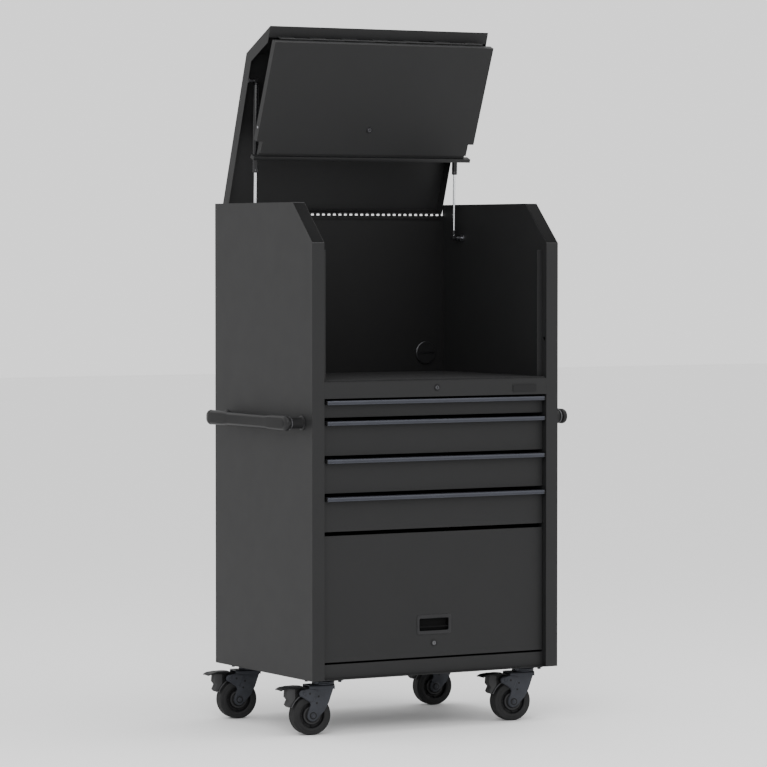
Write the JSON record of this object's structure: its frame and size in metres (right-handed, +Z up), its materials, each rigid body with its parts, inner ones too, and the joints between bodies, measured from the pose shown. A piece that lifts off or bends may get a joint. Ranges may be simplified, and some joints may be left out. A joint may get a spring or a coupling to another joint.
{
  "type": "rolling tool chest",
  "caption": "Rolling steel tool chest: drawers with full-width pulls, a flip-up bottom door, an open hutch under a gas-sprung lid with a folding flap, and braked swivel casters.",
  "frame": {"origin": "middle of the whole object's footprint on the floor, with the lid open and the casters as stored", "axes": "+Z up, +X to the right and -Y out of the drawers, as seen by a person standing in front"},
  "size_m": [1.0558, 0.6992, 2.2553],
  "materials": {
    "graphite_paint": "fine-textured satin powder coat, dark graphite",
    "black_paint": "satin black paint inside the hutch",
    "mat": "matt ribbed worktop mat",
    "pull_aluminium": "blue-grey anodised aluminium",
    "zinc_steel": "zinc-plated steel",
    "chrome": "polished chrome",
    "black_plastic": "moulded black plastic",
    "handle_grip": "soft-touch black handle",
    "caster_steel": "blue-grey coated pressed steel",
    "tyre": "dark grey rubber"
  },
  "bodies": {
    "cabinet": {"left_side_panel": "graphite_paint", "right_side_panel": "graphite_paint", "hutch_stop_flanges": "graphite_paint", "back_panel": "black_paint", "base_pan": "graphite_paint", "top_rail": "graphite_paint", "worktop": "graphite_paint", "worktop_mat": "mat", "divider_shelf": "black_paint", "slide_outer_members": "zinc_steel", "door_tracks": "zinc_steel", "handle_grips": "handle_grip", "handle_brackets": "black_plastic", "caster_plates": "caster_steel", "grommet_ring": "black_plastic", "drawer_lock_body": "chrome", "strut_wall_studs": "zinc_steel", "lid_hinge_lower": "black_paint"},
    "lid": {"lid_shell": "graphite_paint", "lid_hinge_upper": "black_paint", "strut_lid_studs": "zinc_steel"},
    "flap": {"flap_panel": "graphite_paint", "flap_lock_body": "chrome"},
    "flap_lock": {"flap_lock_plug": "chrome"},
    "flap_rod_left": {"lock_rod_left": "zinc_steel"},
    "flap_rod_right": {"lock_rod_right": "zinc_steel"},
    "drawer_lock": {"drawer_lock_plug": "chrome"},
    "grommet_cover": {"grommet_flap": "black_plastic"},
    "drawer_1": {"drawer_1_box": "graphite_paint", "drawer_1_pull": "pull_aluminium"},
    "slide_1": {"slide_1_middle": "zinc_steel"},
    "drawer_2": {"drawer_2_box": "graphite_paint", "drawer_2_pull": "pull_aluminium"},
    "slide_2": {"slide_2_middle": "zinc_steel"},
    "drawer_3": {"drawer_3_box": "graphite_paint", "drawer_3_pull": "pull_aluminium"},
    "slide_3": {"slide_3_middle": "zinc_steel"},
    "drawer_4": {"drawer_4_box": "graphite_paint", "drawer_4_pull": "pull_aluminium"},
    "slide_4": {"slide_4_middle": "zinc_steel"},
    "door_carriage": {"door_carriage": "zinc_steel"},
    "door": {"door_panel": "graphite_paint", "door_handle_cup": "black_plastic"},
    "door_lock": {"door_lock_plug": "chrome"},
    "strut_tube_left": {"strut_cylinder_left": "black_paint"},
    "strut_rod_left": {"strut_rod_left": "chrome"},
    "strut_tube_right": {"strut_cylinder_right": "black_paint"},
    "strut_rod_right": {"strut_rod_right": "chrome"},
    "caster_front_left": {"caster_front_left_fork": "caster_steel"},
    "wheel_front_left": {"caster_front_left_wheel": "tyre"},
    "brake_front_left": {"caster_front_left_pedal": "black_plastic"},
    "caster_front_right": {"caster_front_right_fork": "caster_steel"},
    "wheel_front_right": {"caster_front_right_wheel": "tyre"},
    "brake_front_right": {"caster_front_right_pedal": "black_plastic"},
    "caster_back_left": {"caster_back_left_fork": "caster_steel"},
    "wheel_back_left": {"caster_back_left_wheel": "tyre"},
    "brake_back_left": {"caster_back_left_pedal": "black_plastic"},
    "caster_back_right": {"caster_back_right_fork": "caster_steel"},
    "wheel_back_right": {"caster_back_right_wheel": "tyre"},
    "brake_back_right": {"caster_back_right_pedal": "black_plastic"}
  },
  "joints": [
    {"name": "lid_hinge", "type": "hinge", "parent": "cabinet", "child": "lid", "pos_m": [0.00093, 0.30735, 1.657], "axis": [1, 0, 0], "range_deg": [0, 71.2]},
    {"name": "flap_hinge", "type": "hinge", "parent": "lid", "child": "flap", "pos_m": [0.00093, 0.00053, 2.21383], "axis": [-1, 0, 0], "range_deg": [0, 93.2]},
    {"name": "rod_left_slide", "type": "slide", "parent": "flap", "child": "flap_rod_left", "axis": [-1, 0, 0], "range_m": [0, 0.014]},
    {"name": "rod_right_slide", "type": "slide", "parent": "flap", "child": "flap_rod_right", "axis": [1, 0, 0], "range_m": [0, 0.014]},
    {"name": "flap_lock_turn", "type": "hinge", "parent": "flap", "child": "flap_lock", "pos_m": [0.00093, 0.08991, 1.92854], "axis": [0, 0.9272, 0.3746], "range_deg": [0, 90]},
    {"name": "drawer_lock_turn", "type": "hinge", "parent": "cabinet", "child": "drawer_lock", "pos_m": [0.00093, -0.34465, 1.0965], "axis": [0, 1, 0], "range_deg": [0, 90]},
    {"name": "grommet_hinge", "type": "hinge", "parent": "cabinet", "child": "grommet_cover", "pos_m": [0.34393, 0.30035, 1.187], "axis": [1, 0, 0], "range_deg": [0, 110]},
    {"name": "drawer_1_slide", "type": "slide", "parent": "cabinet", "child": "drawer_1", "axis": [0, -1, 0], "range_m": [0, 0.52]},
    {"name": "slide_1_run", "type": "slide", "parent": "cabinet", "child": "slide_1", "axis": [0, -1, 0], "range_m": [0, 0.26]},
    {"name": "drawer_2_slide", "type": "slide", "parent": "cabinet", "child": "drawer_2", "axis": [0, -1, 0], "range_m": [0, 0.52]},
    {"name": "slide_2_run", "type": "slide", "parent": "cabinet", "child": "slide_2", "axis": [0, -1, 0], "range_m": [0, 0.26]},
    {"name": "drawer_3_slide", "type": "slide", "parent": "cabinet", "child": "drawer_3", "axis": [0, -1, 0], "range_m": [0, 0.52]},
    {"name": "slide_3_run", "type": "slide", "parent": "cabinet", "child": "slide_3", "axis": [0, -1, 0], "range_m": [0, 0.26]},
    {"name": "drawer_4_slide", "type": "slide", "parent": "cabinet", "child": "drawer_4", "axis": [0, -1, 0], "range_m": [0, 0.52]},
    {"name": "slide_4_run", "type": "slide", "parent": "cabinet", "child": "slide_4", "axis": [0, -1, 0], "range_m": [0, 0.26]},
    {"name": "door_slide", "type": "slide", "parent": "cabinet", "child": "door_carriage", "axis": [0, 1, 0], "range_m": [0, 0.35]},
    {"name": "door_swing", "type": "hinge", "parent": "door_carriage", "child": "door", "pos_m": [0.00093, -0.28865, 0.6], "axis": [-1, 0, 0], "range_deg": [0, 90]},
    {"name": "door_lock_turn", "type": "hinge", "parent": "door", "child": "door_lock", "pos_m": [0.00093, -0.32465, 0.276], "axis": [0, 1, 0], "range_deg": [0, 90]},
    {"name": "strut_left_pivot", "type": "hinge", "parent": "lid", "child": "strut_tube_left", "pos_m": [-0.37807, 0.17085, 2.08589], "axis": [1, 0, 0], "range_deg": [0, 1.94]},
    {"name": "strut_left_stroke", "type": "slide", "parent": "strut_tube_left", "child": "strut_rod_left", "axis": [0, -0.0205, 0.9998], "range_m": [0, 0.17466]},
    {"name": "strut_right_pivot", "type": "hinge", "parent": "lid", "child": "strut_tube_right", "pos_m": [0.37993, 0.17085, 2.08589], "axis": [1, 0, 0], "range_deg": [0, 1.94]},
    {"name": "strut_right_stroke", "type": "slide", "parent": "strut_tube_right", "child": "strut_rod_right", "axis": [0, -0.0205, 0.9998], "range_m": [0, 0.17466]},
    {"name": "caster_front_left_swivel", "type": "hinge", "parent": "cabinet", "child": "caster_front_left", "pos_m": [-0.37307, -0.26465, 0.16], "axis": [0, 0, 1], "continuous": true},
    {"name": "wheel_front_left_spin", "type": "hinge", "parent": "caster_front_left", "child": "wheel_front_left", "pos_m": [-0.41863, -0.25825, 0.0635], "axis": [-0.1392, -0.9903, 0], "continuous": true},
    {"name": "brake_front_left_press", "type": "hinge", "parent": "caster_front_left", "child": "brake_front_left", "pos_m": [-0.44833, -0.25407, 0.134], "axis": [-0.1392, -0.9903, 0], "range_deg": [0, 6]},
    {"name": "caster_front_right_swivel", "type": "hinge", "parent": "cabinet", "child": "caster_front_right", "pos_m": [0.37493, -0.26465, 0.16], "axis": [0, 0, 1], "continuous": true},
    {"name": "wheel_front_right_spin", "type": "hinge", "parent": "caster_front_right", "child": "wheel_front_right", "pos_m": [0.32937, -0.25825, 0.0635], "axis": [-0.1392, -0.9903, 0], "continuous": true},
    {"name": "brake_front_right_press", "type": "hinge", "parent": "caster_front_right", "child": "brake_front_right", "pos_m": [0.29967, -0.25407, 0.134], "axis": [-0.1392, -0.9903, 0], "range_deg": [0, 6]},
    {"name": "caster_back_left_swivel", "type": "hinge", "parent": "cabinet", "child": "caster_back_left", "pos_m": [-0.37307, 0.23135, 0.16], "axis": [0, 0, 1], "continuous": true},
    {"name": "wheel_back_left_spin", "type": "hinge", "parent": "caster_back_left", "child": "wheel_back_left", "pos_m": [-0.41863, 0.23775, 0.0635], "axis": [-0.1392, -0.9903, 0], "continuous": true},
    {"name": "brake_back_left_press", "type": "hinge", "parent": "caster_back_left", "child": "brake_back_left", "pos_m": [-0.44833, 0.24193, 0.134], "axis": [-0.1392, -0.9903, 0], "range_deg": [0, 6]},
    {"name": "caster_back_right_swivel", "type": "hinge", "parent": "cabinet", "child": "caster_back_right", "pos_m": [0.37493, 0.23135, 0.16], "axis": [0, 0, 1], "continuous": true},
    {"name": "wheel_back_right_spin", "type": "hinge", "parent": "caster_back_right", "child": "wheel_back_right", "pos_m": [0.32937, 0.23775, 0.0635], "axis": [-0.1392, -0.9903, 0], "continuous": true},
    {"name": "brake_back_right_press", "type": "hinge", "parent": "caster_back_right", "child": "brake_back_right", "pos_m": [0.29967, 0.24193, 0.134], "axis": [-0.1392, -0.9903, 0], "range_deg": [0, 6]}
  ],
  "couplings": [
    {"joint": "rod_right_slide", "follows": "rod_left_slide", "ratio": 1},
    {"joint": "flap_lock_turn", "follows": "rod_left_slide", "rad_per_m": 112.2},
    {"joint": "slide_1_run", "follows": "drawer_1_slide", "ratio": 0.5},
    {"joint": "slide_2_run", "follows": "drawer_2_slide", "ratio": 0.5},
    {"joint": "slide_3_run", "follows": "drawer_3_slide", "ratio": 0.5},
    {"joint": "slide_4_run", "follows": "drawer_4_slide", "ratio": 0.5},
    {"joint": "strut_left_pivot", "follows": "lid_hinge", "ratio": 0.02717},
    {"joint": "strut_left_stroke", "follows": "lid_hinge", "m_per_rad": 0.14039},
    {"joint": "strut_right_pivot", "follows": "lid_hinge", "ratio": 0.02717},
    {"joint": "strut_right_stroke", "follows": "lid_hinge", "m_per_rad": 0.14039}
  ]
}
